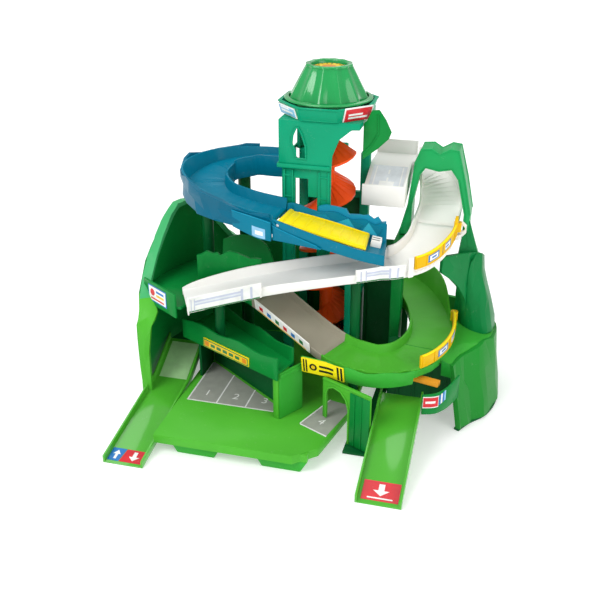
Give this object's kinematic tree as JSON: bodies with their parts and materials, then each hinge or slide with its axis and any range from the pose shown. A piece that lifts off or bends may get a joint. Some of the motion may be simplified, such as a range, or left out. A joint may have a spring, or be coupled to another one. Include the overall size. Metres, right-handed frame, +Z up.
{
  "type": "toy mountain road track",
  "caption": "Free-standing moulded toy hill: a hand-turned spiral lift in a tower feeds winding roads with guards, a lifting bridge plate, a tunnel, a garage and floor ramps for small cars.",
  "frame": {"origin": "on the lift's axis at floor level", "axes": "+X to the right seen from the front, -Y to the front, +Z up"},
  "size_m": [0.4355, 0.3864, 0.41],
  "materials": {
    "light_green": "moulded, semi-gloss",
    "mid_green": "moulded, semi-gloss",
    "dark_green": "moulded, semi-gloss",
    "tower_green": "moulded, semi-gloss",
    "road_blue": "moulded, semi-gloss",
    "yellow": "moulded, semi-gloss",
    "ivory": "moulded, semi-gloss",
    "orange": "moulded, semi-gloss",
    "grey": "moulded, semi-gloss",
    "steel": "plain turned steel"
  },
  "bodies": {
    "track": {"base_deck": "light_green", "deck_feet": "light_green", "rest_back_wall": "dark_green", "rest_side_wall": "dark_green", "rest_divider": "light_green", "rest_roof": "mid_green", "rest_sign": "yellow", "entry_ramp": "light_green", "lift_feed": "dark_green", "left_mountain": "mid_green", "landing": "mid_green", "landing_sill": "mid_green", "inner_wall": "mid_green", "mid_road": "mid_green", "grey_ramp": "grey", "ramp_rail": "ivory", "loop_road": "light_green", "apron": "light_green", "hazard_panel": "yellow", "handle_arch": "light_green", "exit_ramp": "light_green", "garage_fascia": "mid_green", "right_rock": "light_green", "right_leg": "dark_green", "floor_frame": "dark_green", "inner_column": "mid_green", "core_wall": "dark_green", "white_run": "ivory", "white_curve": "ivory", "tunnel_road": "ivory", "tunnel_arch": "mid_green", "summit_tray": "ivory", "rail_panel_right": "ivory", "rail_panel_left": "ivory", "blue_loop": "road_blue", "blue_run": "road_blue", "blue_rocks": "road_blue", "tower_frame": "tower_green", "tower_housing": "tower_green", "collar": "tower_green", "collar_wing": "tower_green", "lower_bush": "ivory", "upper_bush": "ivory", "bridge_pin": "steel", "upper_guard_pin": "steel", "lower_guard_pin": "steel", "lever_pin": "steel", "piers": "dark_green", "tower_screws": "steel"},
    "lift": {"lift_shaft": "ivory", "spiral": "orange", "cap": "mid_green", "cap_disc": "yellow", "cap_screw": "steel"},
    "bridge": {"bridge": "yellow"},
    "upper_guard": {"upper_guard": "yellow"},
    "lower_guard": {"lower_guard": "yellow"},
    "release_lever": {"release_lever": "orange"}
  },
  "joints": [
    {"name": "lift_spin", "type": "hinge", "parent": "track", "child": "lift", "pos_m": [0, 0, 0.2], "axis": [0, 0, 1], "continuous": true},
    {"name": "bridge_lift", "type": "hinge", "parent": "track", "child": "bridge", "pos_m": [-0.03106, -0.08049, 0.24643], "axis": [-0.0787, -0.9969, 0], "range_deg": [0, 40]},
    {"name": "upper_guard_swing", "type": "hinge", "parent": "track", "child": "upper_guard", "pos_m": [0.16185, -0.00464, 0.2251], "axis": [0, 0, 1], "range_deg": [0, 40]},
    {"name": "lower_guard_swing", "type": "hinge", "parent": "track", "child": "lower_guard", "pos_m": [0.16658, -0.00824, 0.108], "axis": [0, 0, 1], "range_deg": [0, 22]},
    {"name": "lever_turn", "type": "hinge", "parent": "track", "child": "release_lever", "pos_m": [0.122, -0.112, 0.077], "axis": [0, 0, 1], "range_deg": [-8, 8]}
  ]
}
